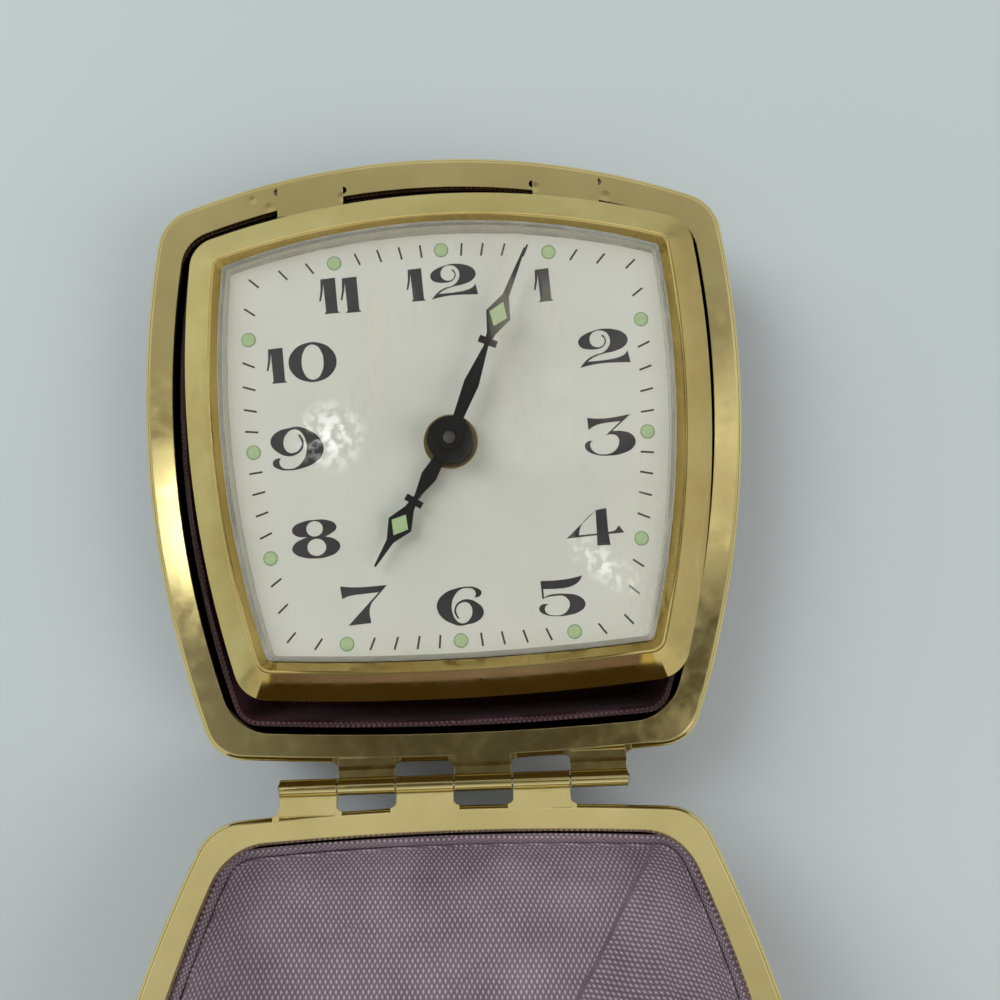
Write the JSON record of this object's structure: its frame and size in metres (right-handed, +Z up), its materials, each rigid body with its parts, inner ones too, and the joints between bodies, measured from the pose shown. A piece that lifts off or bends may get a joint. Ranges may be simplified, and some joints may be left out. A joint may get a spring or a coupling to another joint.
{
  "type": "travel alarm clock",
  "caption": "Folding travel alarm clock: a wind-up clock that swings on a rod inside a hinged, satin-lined clamshell case with gilt rims, standing open.",
  "frame": {"origin": "centre of the rear case half's flat back, which lies on the table", "axes": "+X along the lid hinge, +Y from the hinge towards twelve, +Z up out of the dial"},
  "size_m": [0.0778, 0.1594, 0.0504],
  "materials": {
    "leatherette": "grained leatherette, semi matt",
    "pressed_steel": "plain pressed sheet",
    "maroon_satin": "dark maroon satin on card",
    "mauve_satin": "mauve satin weave",
    "gilt_brass": "polished and lacquered",
    "movement_brass": "brushed",
    "steel": "polished",
    "blued_spring": "blued",
    "acrylic": "clear acrylic",
    "dial_enamel": "off-white, satin",
    "black_hand": "matt charcoal",
    "lume": "pale green luminous filling"
  },
  "bodies": {
    "case": {"rear_leather": "leatherette", "rear_shell": "pressed_steel", "rear_lining": "maroon_satin", "rear_rim": "gilt_brass", "hinge_pin": "steel"},
    "lid": {"lid_leather": "leatherette", "lid_shell": "pressed_steel", "lid_lining": "mauve_satin", "lid_pad": "mauve_satin", "lid_rim": "gilt_brass"},
    "clock": {"pivot_rod": "steel", "pivot_bracket": "gilt_brass", "bezel": "gilt_brass", "crystal": "acrylic", "dial": "dial_enamel", "front_plate": "movement_brass", "back_plate": "movement_brass", "plate_pillars": "movement_brass", "clock_cover": "gilt_brass", "cover_screws": "gilt_brass", "time_great_wheel": "movement_brass", "time_mainspring": "blued_spring", "alarm_great_wheel": "movement_brass", "alarm_mainspring": "blued_spring", "centre_wheel": "movement_brass", "third_wheel": "movement_brass", "fourth_wheel": "movement_brass", "escape_wheel": "movement_brass", "alarm_escape_wheel": "movement_brass", "hairspring": "blued_spring"},
    "minute": {"minute_hand": "black_hand", "minute_lume": "lume", "centre_arbor": "steel", "cannon_pinion": "steel", "time_set_knob": "gilt_brass"},
    "hour": {"hour_hand": "black_hand", "hour_lume": "lume", "hour_wheel": "movement_brass"},
    "minute_work": {"minute_wheel": "movement_brass"},
    "alarm_pointer": {"alarm_hand": "gilt_brass", "alarm_wheel": "movement_brass"},
    "alarm_setter": {"alarm_set_arbor": "steel", "alarm_set_knob": "gilt_brass"},
    "time_winder": {"time_key": "gilt_brass"},
    "alarm_winder": {"alarm_key": "gilt_brass"},
    "alarm_stop": {"alarm_stop_slide": "gilt_brass"},
    "regulator": {"regulator_lever": "steel"},
    "balance": {"balance_wheel": "movement_brass"},
    "pallets": {"pallet_fork": "steel"},
    "hammer": {"alarm_hammer": "steel"}
  },
  "joints": [
    {"name": "lid_hinge", "type": "hinge", "parent": "case", "child": "lid", "pos_m": [0, -0.0415, 0.016], "axis": [1, 0, 0], "range_deg": [-154.85, 25.15]},
    {"name": "clock_swing", "type": "hinge", "parent": "case", "child": "clock", "pos_m": [0.00095, 0.0325, 0.01423], "axis": [-0.9998, -0.0201, 0], "range_deg": [0, 60]},
    {"name": "minute_turn", "type": "hinge", "parent": "clock", "child": "minute", "pos_m": [0.00095, 0.00064, 0.019], "axis": [-0.0011, 0.0558, -0.9984], "continuous": true},
    {"name": "hour_turn", "type": "hinge", "parent": "clock", "child": "hour", "pos_m": [0.00095, 0.00064, 0.019], "axis": [-0.0011, 0.0558, -0.9984], "continuous": true},
    {"name": "minute_wheel_turn", "type": "hinge", "parent": "clock", "child": "minute_work", "pos_m": [0.00594, 0.00594, 0.01729], "axis": [-0.0011, 0.0558, -0.9984], "continuous": true},
    {"name": "alarm_set_turn", "type": "hinge", "parent": "clock", "child": "alarm_setter", "pos_m": [0.00109, -0.00614, 0.01662], "axis": [-0.0011, 0.0558, -0.9984], "continuous": true},
    {"name": "alarm_hand_turn", "type": "hinge", "parent": "clock", "child": "alarm_pointer", "pos_m": [0.00095, 0.00064, 0.019], "axis": [-0.0011, 0.0558, -0.9984], "continuous": true},
    {"name": "time_winding", "type": "hinge", "parent": "clock", "child": "time_winder", "pos_m": [0.01312, -0.00147, 0.00685], "axis": [-0.0011, 0.0558, -0.9984], "continuous": true},
    {"name": "alarm_winding", "type": "hinge", "parent": "clock", "child": "alarm_winder", "pos_m": [-0.01113, -0.00195, 0.00685], "axis": [-0.0011, 0.0558, -0.9984], "continuous": true},
    {"name": "alarm_stop_travel", "type": "slide", "parent": "clock", "child": "alarm_stop", "axis": [0.9998, 0.0201, 0], "range_m": [0, 0.0035]},
    {"name": "regulator_swing", "type": "hinge", "parent": "clock", "child": "regulator", "pos_m": [0.00351, 0.02246, 0.0112], "axis": [0.0011, -0.0558, 0.9984], "range_deg": [-25, 25]},
    {"name": "balance_swing", "type": "hinge", "parent": "clock", "child": "balance", "pos_m": [0.00351, 0.02235, 0.0132], "axis": [0.0011, -0.0558, 0.9984], "range_deg": [-220, 220], "stiffness_Nm_per_rad": 0.0000025},
    {"name": "pallet_rock", "type": "hinge", "parent": "clock", "child": "pallets", "pos_m": [0.007, 0.01807, 0.01396], "axis": [0.0011, -0.0558, 0.9984], "range_deg": [-4, 4]},
    {"name": "hammer_rock", "type": "hinge", "parent": "clock", "child": "hammer", "pos_m": [-0.00021, -0.01622, 0.01205], "axis": [0.0011, -0.0558, 0.9984], "range_deg": [-6, 6]}
  ],
  "couplings": [
    {"joint": "hour_turn", "follows": "minute_turn", "ratio": 0.083333},
    {"joint": "minute_wheel_turn", "follows": "minute_turn", "ratio": -0.33333},
    {"joint": "alarm_hand_turn", "follows": "alarm_set_turn", "ratio": -0.27778}
  ]
}
